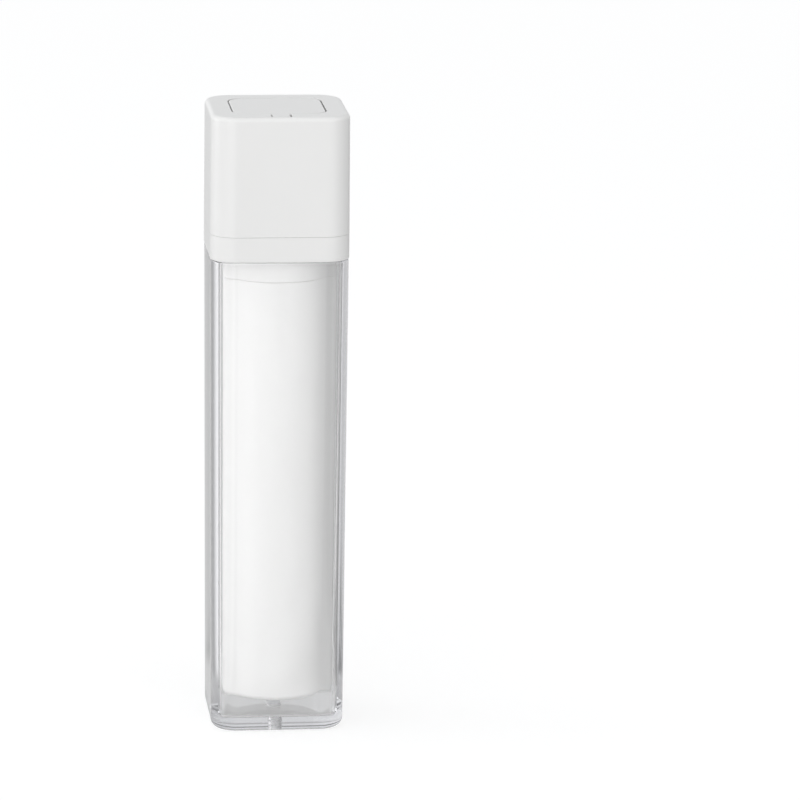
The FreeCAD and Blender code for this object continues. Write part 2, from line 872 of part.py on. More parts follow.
upright_z = lug_z - slot_half - 0.1
upright_sketch = new_sketch(turn_sleeve, "upright_box", "YZ_Plane")
upright_half = slot_half
upright_top_z = lug_z + s.lift_travel + slot_half + 0.1


def draw_upright(sketch, half, low, high):
    """Rectangle from -half to half across and from low to high above the sketch's origin."""
    corners = [
        FreeCAD.Vector(-half.value, low.value, 0),
        FreeCAD.Vector(half.value, low.value, 0),
        FreeCAD.Vector(half.value, high.value, 0),
        FreeCAD.Vector(-half.value, high.value, 0),
    ]
    for k in range(4):
        sketch.addGeometry(Part.LineSegment(corners[k], corners[(k + 1) % 4]), False)
    for k in range(4):
        sketch.addConstraint(Sketcher.Constraint("Coincident", k, 2, (k + 1) % 4, 1))
    sketch.addConstraint(Sketcher.Constraint("Horizontal", 0))
    sketch.addConstraint(Sketcher.Constraint("Vertical", 1))
    sketch.addConstraint(Sketcher.Constraint("Horizontal", 2))
    sketch.addConstraint(Sketcher.Constraint("Vertical", 3))
    tie(sketch, Sketcher.Constraint("DistanceX", -1, 1, 1, 1, half.value), half)
    tie(sketch, Sketcher.Constraint("DistanceX", 0, 1, -1, 1, half.value), half)
    tie(sketch, Sketcher.Constraint("DistanceY", -1, 1, 0, 1, low.value), low)
    tie(sketch, Sketcher.Constraint("DistanceY", -1, 1, 2, 1, high.value), high)


draw_upright(upright_sketch, upright_half, upright_z, upright_top_z)
cross_cut(turn_sleeve, "upright_slots", upright_sketch, (turn_radius + 0.2) * 2)


# Lift sleeve: lip over the stem's flange and two lugs.

lift_sleeve = new_body("lift_sleeve")
lug_sketch = new_sketch(lift_sleeve, "lug_circle", "YZ_Plane")
draw_circle(lug_sketch, s.lug_radius, 0, lug_z)
lugs = lift_sleeve.newObject("PartDesign::Pad", "lugs")
lugs.Profile = lug_sketch
lugs.Midplane = True
lugs.setExpression("Length", (lug_reach * 2).formula)
revolve(
    lift_sleeve,
    "lift_tube",
    [
        (0, lift_z),
        (lift_radius, lift_z),
        (lift_radius, lip_top_z),
        (0, lip_top_z),
    ],
)
lip_hole = s.stem_radius + s.lip_room
revolve(
    lift_sleeve,
    "lift_bore",
    [
        (0, lift_z),
        (s.sleeve_bore, lift_z),
        (s.sleeve_bore, lip_z),
        (lip_hole, lip_z),
        (lip_hole, lip_top_z),
        (0, lip_top_z),
    ],
    cut=True,
)


# Head shell: leaning walls, rounded top, opening for button and spout, ribs above the flange.

head_shell = new_body("head_shell")
shell_foot = square_sketch(head_shell, "shell_foot", head_half, s.corner_radius, shell_z)
shell_block = tapered(head_shell, "shell_block", shell_foot, s.head_height, 0 - s.head_lean)
round_edges(
    head_shell,
    "top_rounding",
    shell_block,
    s.top_round,
    lambda box: box.ZMin > top_z.value - 0.01,
)
room_foot = square_sketch(head_shell, "room_foot", shell_half, shell_corner, shell_z)
room_head_z = top_z - s.shell_top
tapered(head_shell, "room", room_foot, room_head_z - shell_z, 0 - s.head_lean, cut=True)
opening_square = square_sketch(
    head_shell, "opening_square", opening_half, opening_corner, room_head_z
)
raise_cut(head_shell, "opening", opening_square, s.shell_top)
tongue_slot = new_sketch(head_shell, "tongue_slot_box", "XY_Plane", room_head_z)
draw_box(tongue_slot, spout_half + s.button_gap, opening_half - 1.0, shell_top_half)
raise_cut(head_shell, "tongue_slot", tongue_slot, s.shell_top)
rib_z = turn_top_z + 0.05
rib_inner = button_half + 1.6
rib_sketch = new_sketch(head_shell, "rib_box", "XY_Plane", rib_z)
rib_outer = shell_top_half + 0.4
rib_near = s.rib_offset
rib_far = s.rib_offset + s.rib_width
draw_outline(
    rib_sketch,
    [(rib_near, rib_inner), (rib_far, rib_inner), (rib_far, rib_outer), (rib_near, rib_outer)],
)
rib = raise_pad(head_shell, "rib", rib_sketch, room_head_z + 0.3 - rib_z)
ribs = head_shell.newObject("PartDesign::PolarPattern", "ribs")
ribs.Originals = [rib]
ribs.Axis = (rib_sketch, ["N_Axis"])
ribs.Angle = 360
ribs.Occurrences = 4
head_shell.Tip = ribs


# Button: hollow square cap, spout tongue, socket for the stem, riser and channel.

button = new_body("button")
button_square = square_sketch(
    button, "button_square", button_half, s.button_corner, skirt_bottom_z
)
raise_pad(button, "button_block", button_square, top_z - skirt_bottom_z)
button_room = square_sketch(
    button,
    "button_room_square",
    button_half - s.button_wall,
    s.button_corner - s.button_wall,
    skirt_bottom_z,
)
raise_cut(button, "button_room", button_room, button_under_z - skirt_bottom_z)
socket_radius = s.stem_radius + 1.1
revolve(
    button,
    "socket",
    [
        (0, socket_z),
        (socket_radius, socket_z),
        (socket_radius, button_under_z + 0.5),
        (0, button_under_z + 0.5),
    ],
)
tongue_sketch = new_sketch(button, "tongue_box", "XY_Plane", spout_z)
draw_box(tongue_sketch, spout_half, s.stem_radius, spout_tip)
tongue = raise_pad(button, "tongue", tongue_sketch, s.spout_height)
round_edges(
    button,
    "button_rounding",
    tongue,
    s.button_round,
    lambda box: box.ZMin > top_z.value - 0.01,
)
revolve(
    button,
    "riser",
    [
        (0, socket_z),
        (s.stem_radius + 0.02, socket_z),
        (s.stem_radius + 0.02, stem_top_z + 0.1),
        (s.channel_radius, stem_top_z + 0.1),
        (s.channel_radius, channel_z),
        (0, channel_z),
    ],
    cut=True,
)


def forward_cut(body, name, radius, start, length):
    """Round cut on the channel's line, from start (measured forward from the axis) towards the spout's tip."""
    sketch = new_sketch(body, name + "_circle", "XZ_Plane", start)
    draw_circle(sketch, radius, 0, channel_z)
    pocket = body.newObject("PartDesign::Pocket", name)
    pocket.Profile = sketch
    pocket.Type = 0
    pocket.Reversed = True
    pocket.setExpression("Length", length.formula)
    return pocket


forward_cut(button, "channel", s.channel_radius, as_size(0), spout_tip)
nozzle_seat = spout_tip - s.nozzle_length
forward_cut(button, "nozzle_seat", s.nozzle_radius + 0.02, nozzle_seat, s.nozzle_length)


# Nozzle insert in the tongue's tip.

nozzle_insert = new_body("nozzle_insert")
insert_sketch = new_sketch(nozzle_insert, "insert_circle", "XZ_Plane", nozzle_seat)
draw_circle(insert_sketch, s.nozzle_radius, 0, channel_z)
insert_pad = raise_pad(nozzle_insert, "insert", insert_sketch, s.nozzle_length)
forward_cut(nozzle_insert, "outlet", s.outlet_radius, nozzle_seat, s.nozzle_length)
inside_length = s.nozzle_length - 1.0
forward_cut(nozzle_insert, "insert_room", s.channel_radius - 0.15, nozzle_seat, inside_length)


# Return spring: one unbroken tube on arcs that follow a helix, two to each quarter turn.

def spring_point(turn, rise):
    """Point and direction of the helix after so many turns."""
    angle = 2 * math.pi * turn
    radius = s.spring_radius.value
    low = spring_z.value + s.wire_radius.value + 0.02
    point = FreeCAD.Vector(radius * math.cos(angle), radius * math.sin(angle), low + rise * turn)
    along = FreeCAD.Vector(
        -2 * math.pi * radius * math.sin(angle), 2 * math.pi * radius * math.cos(angle), rise
    )
    return point, along.normalize()


def bend(start, along, end):
    """Arc from start, leaving it along the given direction, to end."""
    chord = end - start
    length = chord.Length
    level = FreeCAD.Vector(chord).normalize()
    side = (along - level * along.dot(level)).normalize()
    lean = math.acos(max(-1.0, min(1.0, along.dot(level))))
    middle = (start + end) * 0.5 + side * (0.5 * length * math.tan(0.5 * lean))
    return Part.Arc(start, middle, end).toShape()


def two_arcs(first, second):
    """Two arcs that join two points with their directions."""
    start, along = first
    end, onward = second
    chord = end - start
    square = 2 * (1 - along.dot(onward))
    linear = 2 * chord.dot(along + onward)
    reach = (-linear + math.sqrt(linear * linear + 4 * square * chord.dot(chord))) / (2 * square)
    joint = (start + end + (along - onward) * reach) * 0.5
    tangent = ((end - onward * reach) - (start + along * reach)).normalize()
    return [bend(start, along, joint), bend(joint, tangent, end)]


def wind_spring():
    turns = int(round(s.spring_turns.value))
    wire = s.wire_radius.value
    rise = (s.spring_length.value - 2 * wire - 0.04) / turns
    stations = [spring_point(0.25 * k, rise) for k in range(4 * turns + 1)]
    edges = []
    for k in range(4 * turns):
        edges.extend(two_arcs(stations[k], stations[k + 1]))
    path = Part.Wire(edges)
    start, along = stations[0]
    section = Part.Wire([Part.Circle(start, along, wire).toShape()])
    print("least gap between spring turns %.3f mm" % (rise - 2 * wire))
    return path.makePipeShell([section], True, False)


return_spring = doc.addObject("Part::Feature", "return_spring")
return_spring.Label = "return_spring"
return_spring.Shape = wind_spring()
return_spring.Placement = FreeCAD.Placement()


# Check every piece, then write it.

doc.recompute()
NODES = [
    outer_bottle,
    inner_bottle,
    follower_piston,
    neck_gasket,
    pump_collar,
    pump_housing,
    ball_retainer,
    inlet_ball,
    return_spring,
    pump_piston,
    lower_stem,
    upper_stem,
    stem_guide,
    shoulder_collar,
    cam_sleeve,
    turn_sleeve,
    lift_sleeve,
    head_shell,
    button,
    nozzle_insert,
]
for item in doc.Objects:
    if "Invalid" in item.State or "Error" in item.State:
        raise RuntimeError("%s did not build: %s" % (item.Label, item.State))
os.makedirs("parts", exist_ok=True)
for node in NODES:
    shape = node.Shape
    if shape.isNull() or not shape.isValid() or len(shape.Solids) != 1:
        raise RuntimeError("%s is not one sound solid" % node.Label)
    shape.exportStep("parts/%s.step" % node.Label)
    print("%-16s %9.1f mm3 %3d faces" % (node.Label, shape.Volume, len(shape.Faces)))
print("follower travel %.2f mm" % (inlet_z.value - 0.5 - recess_z.value))
print("top %.3f mm" % top_z.value)
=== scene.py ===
import math

import bmesh
import bpy
from mathutils import Matrix, Vector


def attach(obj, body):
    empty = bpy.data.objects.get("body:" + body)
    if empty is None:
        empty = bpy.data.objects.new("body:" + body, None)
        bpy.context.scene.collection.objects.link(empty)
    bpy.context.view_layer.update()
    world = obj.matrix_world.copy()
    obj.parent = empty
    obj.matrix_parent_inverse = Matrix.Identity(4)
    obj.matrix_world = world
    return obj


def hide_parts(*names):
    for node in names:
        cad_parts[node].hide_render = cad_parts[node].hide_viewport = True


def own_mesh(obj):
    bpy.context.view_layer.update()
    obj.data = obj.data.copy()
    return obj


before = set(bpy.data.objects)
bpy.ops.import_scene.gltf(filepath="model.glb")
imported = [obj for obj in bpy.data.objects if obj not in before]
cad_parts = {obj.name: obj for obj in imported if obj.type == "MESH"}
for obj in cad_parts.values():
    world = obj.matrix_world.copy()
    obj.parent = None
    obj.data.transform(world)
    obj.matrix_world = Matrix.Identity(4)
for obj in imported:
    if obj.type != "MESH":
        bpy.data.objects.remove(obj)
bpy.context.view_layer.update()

# Sizes in millimetres, as in the part's source; the hand tools turn them into metres.
# HALF is half the width of a square, Z a height above the foot, STEPS the faces across a rounding.
# NEAR counts as lying on a plane, and a cutter reaches PAST what it cuts.

MM = 0.001
NEAR = 0.02 * MM
PAST = 1.0
EDGE_STEPS = 3

# Clear wall.
RIM_HALF = 17.0
FOOT_HALF = 16.5
CORNER = 6.5
CORNER_STEPS = 14
RIM_Z = 119.0
RIM_EDGE = 0.35
RIM_STEPS = 4
SPIGOT_HALF = 16.0
SPIGOT_Z = 123.0
FOOT_ROUND = 2.2
FOOT_STEPS = 10
FLOOR_Z = 3.2
FLOOR_ROUND = 1.2
FLOOR_STEPS = 6
CAVITY_HALF = 14.6
CAVITY_FOOT_HALF = 14.1
CAVITY_CORNER = 1.7
CAVITY_STEPS = 8
VENT = 1.7
VENT_LOWER_EDGE = 0.25
VENT_UPPER_EDGE = 0.2

# White inner bottle.
CREAM_RADIUS = 12.9
CREAM_BORE = 11.7
CREAM_NECK = 12.45
CREAM_Z = 7.0
CREAM_FLOOR_Z = 8.2
CREAM_SHOULDER_Z = 113.5
CREAM_SHOULDER_EDGE = 0.2
CREAM_TOP_Z = 121.1
CREAM_ROUND = 1.5
CREAM_STEPS = 8
CREAM_HOLE = 0.9

# Neck ring.
RING_RADIUS = 13.15
RING_BORE = 12.5
RING_Z = 113.56
RING_EDGE = 0.2
RING_FLANGE = 14.85
RING_SHELF_Z = 124.4
RING_TOP_Z = 125.2
RING_WEB_Z = 123.4
RING_HOLE = 8.0

# Collar band.
HEAD_HALF = 17.1
BAND_Z = 119.15
BAND_EDGE = 0.3
BAND_STEPS = 4
BAND_WALL = 1.0
SEAM_Z = 125.4
WEB_Z = 123.0
WEB_TOP_Z = 124.4
WEB_BORE = 13.5
LOCATOR_RADIUS = 15.65
LOCATOR_BORE = 14.9
LOCATOR_ROOT = 0.5
LOCATOR_TOP_Z = 126.0

# Head cover.
HEAD_TOP_HALF = 17.0
COVER_Z = 125.46
COVER_WALL = 1.25
COVER_CEILING_Z = 153.2
TOP_Z = 155.0
TOP_ROUND = 1.15
TOP_STEPS = 8
OPENING_HALF = 11.65
OPENING_CORNER = 4.5
OPENING_STEPS = 10
OPENING_EDGE = 0.1
SLOT_HALF = 2.55
SLOT_TIP = 15.75
SLOT_TIP_SHARP = 0.05

# Press button and its spout.
BUTTON_HALF = 11.35
BUTTON_CORNER = 4.2
BUTTON_CORNER_STEPS = 10
BUTTON_Z = 144.916
BUTTON_WALL = 1.2
BUTTON_CEILING_Z = 153.2
BUTTON_EDGE = 0.4
BUTTON_EDGE_STEPS = 5
SPOUT_HALF = 2.25
SPOUT_TIP = 15.45
SPOUT_Z = 150.0
SOCKET_RADIUS = 4.0
SOCKET_Z = 139.208
SOCKET_ROOT = 0.5
STEM_BORE = 2.92
STEM_TOP_Z = 150.7
CHANNEL_Z = 152.7
CHANNEL_RADIUS = 1.2
NOZZLE_SEAT = 1.52
NOZZLE_START = 11.85

# Nozzle tip.
NOZZLE_RADIUS = 1.5
NOZZLE_LIP = 0.35
NOZZLE_DISH = 0.25
NOZZLE_BACK = 0.35
OUTLET_RADIUS = 0.6

# Wire spring.
SPRING_Z = 98.4
SPRING_LENGTH = 12.2
SPRING_TURNS = 7
SPRING_RADIUS = 3.4
SPRING_PLAY = 0.02
WIRE_RADIUS = 0.35
WIRE_SIDES = 16
TURN_STEPS = 48


# Hand tools.

STEEP = 5
WALL_TILT = 0.3
LEVEL_TILT = 0.9
FRONT_TILT = -0.99
SMOOTH_ANGLE = 40


def let_go():
    """Object mode with nothing selected."""
    if bpy.context.object is not None and bpy.context.object.mode != "OBJECT":
        bpy.ops.object.mode_set(mode="OBJECT")
    bpy.ops.object.select_all(action="DESELECT")


def take(piece):
    """Only this piece is selected and active."""
    let_go()
    piece.select_set(True)
    bpy.context.view_layer.objects.active = piece


def settle(name):
    """Name the new primitive and put its place and size into its mesh."""
    piece = bpy.context.object
    piece.name = name
    piece.data.name = name
    bpy.ops.object.transform_apply(location=True, rotation=True, scale=True)
    bpy.ops.object.mode_set(mode="EDIT")
    return piece


def add_box(name, x, y, z):
    """Block between a low and a high value along each axis."""
    let_go()
    spans = (x, y, z)
    bpy.ops.mesh.primitive_cube_add(
        size=1,
        location=[0.5 * (low + high) * MM for low, high in spans],
        scale=[(high - low) * MM for low, high in spans],
    )
    return settle(name)


def add_block(name, half, low, high):
    """Square block about the axis."""
    return add_box(name, (-half, half), (-half, half), (low, high))


def add_rod(name, radius, low, high, sides=128):
    """Upright rod about the axis."""
    let_go()
    bpy.ops.mesh.primitive_cylinder_add(
        vertices=sides,
        radius=radius * MM,
        depth=(high - low) * MM,
        location=(0, 0, 0.5 * (low + high) * MM),
    )
    return settle(name)


def add_forward_rod(name, radius, height, start, end, sides=64):
    """Rod along the spout, from start to end, measured forward from the axis."""
    let_go()
    bpy.ops.mesh.primitive_cylinder_add(
        vertices=sides,
        radius=radius * MM,
        depth=(end - start) * MM,
        location=(0, -0.5 * (start + end) * MM, height * MM),
        rotation=(math.pi / 2, 0, 0),
    )
    return settle(name)


def corners_of(item):
    return [item] if isinstance(item, bmesh.types.BMVert) else item.verts


def at_height(z):
    """Picks what lies flat at this height."""
    return lambda item: all(abs(v.co.z - z * MM) < NEAR for v in corners_of(item))


def at_front(reach):
    """Picks what lies flat this far forward of the axis."""
    return lambda item: all(abs(v.co.y + reach * MM) < NEAR for v in corners_of(item))


def facing_front(face):
    return face.normal.y < FRONT_TILT


def upright(edge):
    """Picks edges that run up the whole side."""
    a, b = edge.verts
    return abs(a.co.z - b.co.z) > STEEP * max(abs(a.co.x - b.co.x), abs(a.co.y - b.co.y))


def pick(kind, chosen):
    """Select only those corners, edges or faces that chosen picks."""
    bpy.ops.mesh.select_mode(type=kind)
    bpy.ops.mesh.select_all(action="DESELECT")
    mesh = bmesh.from_edit_mesh(bpy.context.object.data)
    items = {"VERT": mesh.verts, "EDGE": mesh.edges, "FACE": mesh.faces}[kind]
    for item in items:
        if chosen(item):
            item.select_set(True)
    mesh.select_flush_mode()
    bmesh.update_edit_mesh(bpy.context.object.data)


def round_off(radius, steps):
    """Round the selected edges."""
    bpy.ops.mesh.bevel(
        offset_type="OFFSET",
        offset=radius * MM,
        segments=steps,
        profile=0.5,
        affect="EDGES",
        clamp_overlap=False,
    )


def round_corners(radius, steps):
    """Round the upright edges."""
    pick("EDGE", upright)
    round_off(radius, steps)


def round_edge(z, radius, steps):
    """Round all edges at this height."""
    pick("EDGE", at_height(z))
    round_off(radius, steps)


def brim(z, radius, steps, chosen=None):
    """Round the edges between the level face at this height and what drops away from it."""
    def edge_of(edge):
        if not at_height(z)(edge) or len(edge.link_faces) != 2:
            return False
        tilts = sorted(abs(face.normal.z) for face in edge.link_faces)
        if tilts[0] > WALL_TILT or tilts[1] < LEVEL_TILT:
            return False
        return chosen is None or chosen(edge)

    pick("EDGE", edge_of)
    round_off(radius, steps)


def inset(width):
    """Step in from the rim of the selected face."""
    bpy.ops.mesh.inset(thickness=width * MM, use_even_offset=True)


def draw_out(y=0.0, z=0.0):
    """Draw the selected face out, or into the piece."""
    bpy.ops.mesh.extrude_region_move(
        TRANSFORM_OT_translate={"value": (0, y * MM, z * MM)}
    )


def spread(share, z):
    """Widen or narrow what is selected about the axis."""
    bpy.ops.transform.resize(value=(share, share, 1), center_override=(0, 0, z * MM))


def combine(piece, tool, operation):
    """Cut the tool away from the piece, or weld it on."""
    take(piece)
    bpy.ops.object.modifier_add(type="BOOLEAN")
    change = piece.modifiers[-1]
    change.operation = operation
    change.solver = "EXACT"
    change.object = tool
    bpy.ops.object.modifier_apply(modifier=change.name)
    bpy.data.objects.remove(tool)
    bpy.ops.object.mode_set(mode="EDIT")


def smooth(piece):
    """Smooth shading that keeps flat faces flat and sharp edges sharp."""
    take(piece)
    bpy.ops.object.shade_smooth_by_angle(angle=math.radians(SMOOTH_ANGLE))
    bpy.ops.object.modifier_add(type="WEIGHTED_NORMAL")
    weighted = piece.modifiers[-1]
    weighted.keep_sharp = True
    bpy.ops.object.modifier_apply(modifier=weighted.name)
    let_go()


# Pieces.

def make_clear_wall():
    """Thick clear outer bottle, with its foot, rim, spigot, cavity and air hole."""
    piece = add_block("clear_wall", RIM_HALF, 0, RIM_Z)
    round_corners(CORNER, CORNER_STEPS)
    pick("VERT", at_height(0))
    spread(FOOT_HALF / RIM_HALF, 0)
    pick("FACE", at_height(RIM_Z))
    inset(RIM_HALF - SPIGOT_HALF)
    draw_out(z=SPIGOT_Z - RIM_Z)
    round_edge(0, FOOT_ROUND, FOOT_STEPS)
    brim(RIM_Z, RIM_EDGE, RIM_STEPS)

    cavity = add_block("cavity", CAVITY_HALF, FLOOR_Z, SPIGOT_Z + PAST)
    round_corners(CAVITY_CORNER, CAVITY_STEPS)
    pick("VERT", at_height(FLOOR_Z))
    spread(CAVITY_FOOT_HALF / CAVITY_HALF, FLOOR_Z)
    round_edge(FLOOR_Z, FLOOR_ROUND, FLOOR_STEPS)
    combine(piece, cavity, "DIFFERENCE")

    air_hole = add_rod("air_hole", VENT, -PAST, FLOOR_Z + PAST, sides=48)
    combine(piece, air_hole, "DIFFERENCE")
    brim(0, VENT_LOWER_EDGE, EDGE_STEPS)
    brim(FLOOR_Z, VENT_UPPER_EDGE, EDGE_STEPS)
    smooth(piece)
    return piece


def make_cream_bottle():
    """White inner bottle with its neck, bore and air hole."""
    piece = add_rod("cream_bottle", CREAM_RADIUS, CREAM_Z, CREAM_SHOULDER_Z)
    pick("FACE", at_height(CREAM_SHOULDER_Z))
    inset(CREAM_RADIUS - CREAM_NECK)
    draw_out(z=CREAM_TOP_Z - CREAM_SHOULDER_Z)
    inset(CREAM_NECK - CREAM_BORE)
    draw_out(z=CREAM_FLOOR_Z - CREAM_TOP_Z)
    round_edge(CREAM_Z, CREAM_ROUND, CREAM_STEPS)
    brim(CREAM_SHOULDER_Z, CREAM_SHOULDER_EDGE, EDGE_STEPS)
    floor_hole = add_rod("floor_hole", CREAM_HOLE, CREAM_Z - PAST, CREAM_FLOOR_Z + PAST, sides=32)
    combine(piece, floor_hole, "DIFFERENCE")
    smooth(piece)
    return piece


def make_neck_ring():
    """Collar that clamps the pump to the inner bottle; its skirt shows through the clear wall."""
    piece = add_rod("neck_ring", RING_FLANGE, RING_SHELF_Z, RING_TOP_Z)
    pick("FACE", at_height(RING_SHELF_Z))
    inset(RING_FLANGE - RING_RADIUS)
    draw_out(z=RING_Z - RING_SHELF_Z)
    inset(RING_RADIUS - RING_BORE)
    draw_out(z=RING_WEB_Z - RING_Z)
    round_edge(RING_Z, RING_EDGE, EDGE_STEPS)
    ring_hole = add_rod("ring_hole", RING_HOLE, RING_WEB_Z - PAST, RING_TOP_Z + PAST)
    combine(piece, ring_hole, "DIFFERENCE")
    smooth(piece)
    return piece


def make_collar_band():
    """Square white band under the turning head, with its web, bore and locating ring."""
    piece = add_block("collar_band", HEAD_HALF, BAND_Z, SEAM_Z)
    round_corners(CORNER, CORNER_STEPS)
    round_edge(BAND_Z, BAND_EDGE, BAND_STEPS)
    pick("FACE", at_height(SEAM_Z))
    inset(BAND_WALL)
    draw_out(z=WEB_TOP_Z - SEAM_Z)
    pick("FACE", at_height(BAND_Z))
    inset(BAND_WALL - BAND_EDGE)
    draw_out(z=WEB_Z - BAND_Z)
    web_bore = add_rod("web_bore", WEB_BORE, BAND_Z - PAST, SEAM_Z + PAST)
    combine(piece, web_bore, "DIFFERENCE")

    locator = add_rod("locator", LOCATOR_RADIUS, WEB_TOP_Z - LOCATOR_ROOT, LOCATOR_TOP_Z)
    locator_bore = add_rod("locator_bore", LOCATOR_BORE, WEB_Z, LOCATOR_TOP_Z + PAST)
    combine(locator, locator_bore, "DIFFERENCE")
    combine(piece, locator, "UNION")
    smooth(piece)
    return piece


def behind_slot_tip(edge):
    """Picks edges that don't lie along the slot's front end."""
    a, b = edge.verts
    return 0.5 * (a.co.y + b.co.y) > (SLOT_TIP_SHARP - SLOT_TIP) * MM


def make_head_cover():
    """Turning head: leaning walls, rounded top and the opening for button and spout."""
    piece = add_block("head_cover", HEAD_HALF, COVER_Z, TOP_Z)
    round_corners(CORNER, CORNER_STEPS)
    pick("VERT", at_height(TOP_Z))
    spread(HEAD_TOP_HALF / HEAD_HALF, TOP_Z)
    pick("FACE", at_height(COVER_Z))
    inset(COVER_WALL)
    draw_out(z=COVER_CEILING_Z - COVER_Z)
    spread((HEAD_TOP_HALF - COVER_WALL) / (HEAD_HALF - COVER_WALL), COVER_CEILING_Z)
    round_edge(TOP_Z, TOP_ROUND, TOP_STEPS)

    opening = add_block("button_opening", OPENING_HALF, COVER_CEILING_Z - PAST, TOP_Z + PAST)
    round_corners(OPENING_CORNER, OPENING_STEPS)
    combine(piece, opening, "DIFFERENCE")
    slot = add_box(
        "spout_slot",
        x=(-SLOT_HALF, SLOT_HALF),
        y=(-SLOT_TIP, PAST - OPENING_HALF),
        z=(COVER_CEILING_Z, TOP_Z + PAST),
    )
    combine(piece, slot, "DIFFERENCE")
    brim(TOP_Z, OPENING_EDGE, EDGE_STEPS, behind_slot_tip)
    smooth(piece)
    return piece


def spout_front(face):
    """Picks the part of the button's front that the spout is drawn from."""
    middle = face.calc_center_median()
    return facing_front(face) and abs(middle.x) < SPOUT_HALF * MM and middle.z > SPOUT_Z * MM


def make_press_button():
    """Hollow square button with its spout tongue, stem socket and channel."""
    piece = add_block("press_button", BUTTON_HALF, BUTTON_Z, TOP_Z)
    round_corners(BUTTON_CORNER, BUTTON_CORNER_STEPS)
    spout_sides = (
        ((-SPOUT_HALF * MM, 0, 0), (1, 0, 0)),
        ((SPOUT_HALF * MM, 0, 0), (1, 0, 0)),
        ((0, 0, SPOUT_Z * MM), (0, 0, 1)),
    )
    for point, along in spout_sides:
        pick("FACE", facing_front)
        bpy.ops.mesh.bisect(plane_co=point, plane_no=along)
    pick("FACE", spout_front)
    draw_out(y=BUTTON_HALF - SPOUT_TIP)
    pick("FACE", at_height(BUTTON_Z))
    inset(BUTTON_WALL)
    draw_out(z=BUTTON_CEILING_Z - BUTTON_Z)

    socket = add_rod("socket", SOCKET_RADIUS, SOCKET_Z, BUTTON_CEILING_Z + SOCKET_ROOT, sides=64)
    combine(piece, socket, "UNION")
    stem_bore = add_rod("stem_bore", STEM_BORE, SOCKET_Z - PAST, STEM_TOP_Z, sides=64)
    combine(piece, stem_bore, "DIFFERENCE")
    riser = add_rod("riser", CHANNEL_RADIUS, STEM_TOP_Z - PAST, CHANNEL_Z, sides=48)
    combine(piece, riser, "DIFFERENCE")
    channel = add_forward_rod("channel", CHANNEL_RADIUS, CHANNEL_Z, 0, SPOUT_TIP - PAST, sides=48)
    combine(piece, channel, "DIFFERENCE")
    seat = add_forward_rod("nozzle_seat", NOZZLE_SEAT, CHANNEL_Z, NOZZLE_START, SPOUT_TIP + PAST, sides=48)
    combine(piece, seat, "DIFFERENCE")
    brim(TOP_Z, BUTTON_EDGE, BUTTON_EDGE_STEPS)
    smooth(piece)
    return piece


def make_nozzle_tip():
    """Insert in the spout's tip, with its outlet."""
    piece = add_forward_rod("nozzle_tip", NOZZLE_RADIUS, CHANNEL_Z, NOZZLE_START, SPOUT_TIP)
    pick("FACE", at_front(SPOUT_TIP))
    inset(NOZZLE_LIP)
    draw_out(y=NOZZLE_DISH)
    inset(NOZZLE_RADIUS - NOZZLE_LIP - OUTLET_RADIUS)
    draw_out(y=SPOUT_TIP - NOZZLE_START - NOZZLE_DISH - NOZZLE_BACK)
    smooth(piece)
    return piece


def make_wire_spring():
    """Return spring: round wire, wound up round the axis, with its two ends closed."""
    let_go()
    bpy.ops.mesh.primitive_circle_add(
        vertices=WIRE_SIDES,
        radius=WIRE_RADIUS * MM,
        location=(SPRING_RADIUS * MM, 0, (SPRING_Z + WIRE_RADIUS + SPRING_PLAY) * MM),
        rotation=(math.pi / 2, 0, 0),
    )
    piece = settle("wire_spring")
    take(piece)
    bpy.ops.object.modifier_add(type="SCREW")
    winding = piece.modifiers[-1]
    winding.axis = "Z"
    winding.screw_offset = (SPRING_LENGTH - 2 * (WIRE_RADIUS + SPRING_PLAY)) / SPRING_TURNS * MM
    winding.iterations = SPRING_TURNS
    winding.steps = TURN_STEPS
    winding.render_steps = TURN_STEPS
    bpy.ops.object.modifier_apply(modifier=winding.name)
    bpy.ops.object.mode_set(mode="EDIT")
    bpy.ops.mesh.select_all(action="SELECT")
    bpy.ops.mesh.fill_holes(sides=0)
    bpy.ops.mesh.select_all(action="SELECT")
    bpy.ops.mesh.normals_make_consistent(inside=False)
    smooth(piece)
    return piece


# Finishes. Patterns read Object coordinates, in metres.

LOW_SHADE_AT = 0.3
HIGH_SHADE_AT = 0.7


class Nodes:
    """A node tree, with short ways to add and join its nodes."""

    def __init__(self, tree):
        self.tree = tree
        tree.nodes.clear()

    def add(self, kind, **values):
        node = self.tree.nodes.new(kind)
        for key, value in values.items():
            setattr(node, key, value)
        return node

    def join(self, source, target):
        self.tree.links.new(source, target)

    def feed(self, node, values):
        """Give each input a value, or join it to another node's output."""
        for socket, value in zip(node.inputs, values):
            if isinstance(value, bpy.types.NodeSocket):
                self.join(value, socket)
            else:
                socket.default_value = value

    def math(self, operation, *values, clamp=False):
        node = self.add("ShaderNodeMath", operation=operation, use_clamp=clamp)
        self.feed(node, values)
        return node.outputs["Value"]

    def vector(self, operation, *values, output="Vector"):
        node = self.add("ShaderNodeVectorMath", operation=operation)
        self.feed(node, values)
        return node.outputs[output]

    def mirrored(self, path):
        """One for rays off a gloss or through the clear wall, else zero."""
        return self.math("MAXIMUM", path.outputs["Is Glossy Ray"], path.outputs["Is Transmission Ray"])


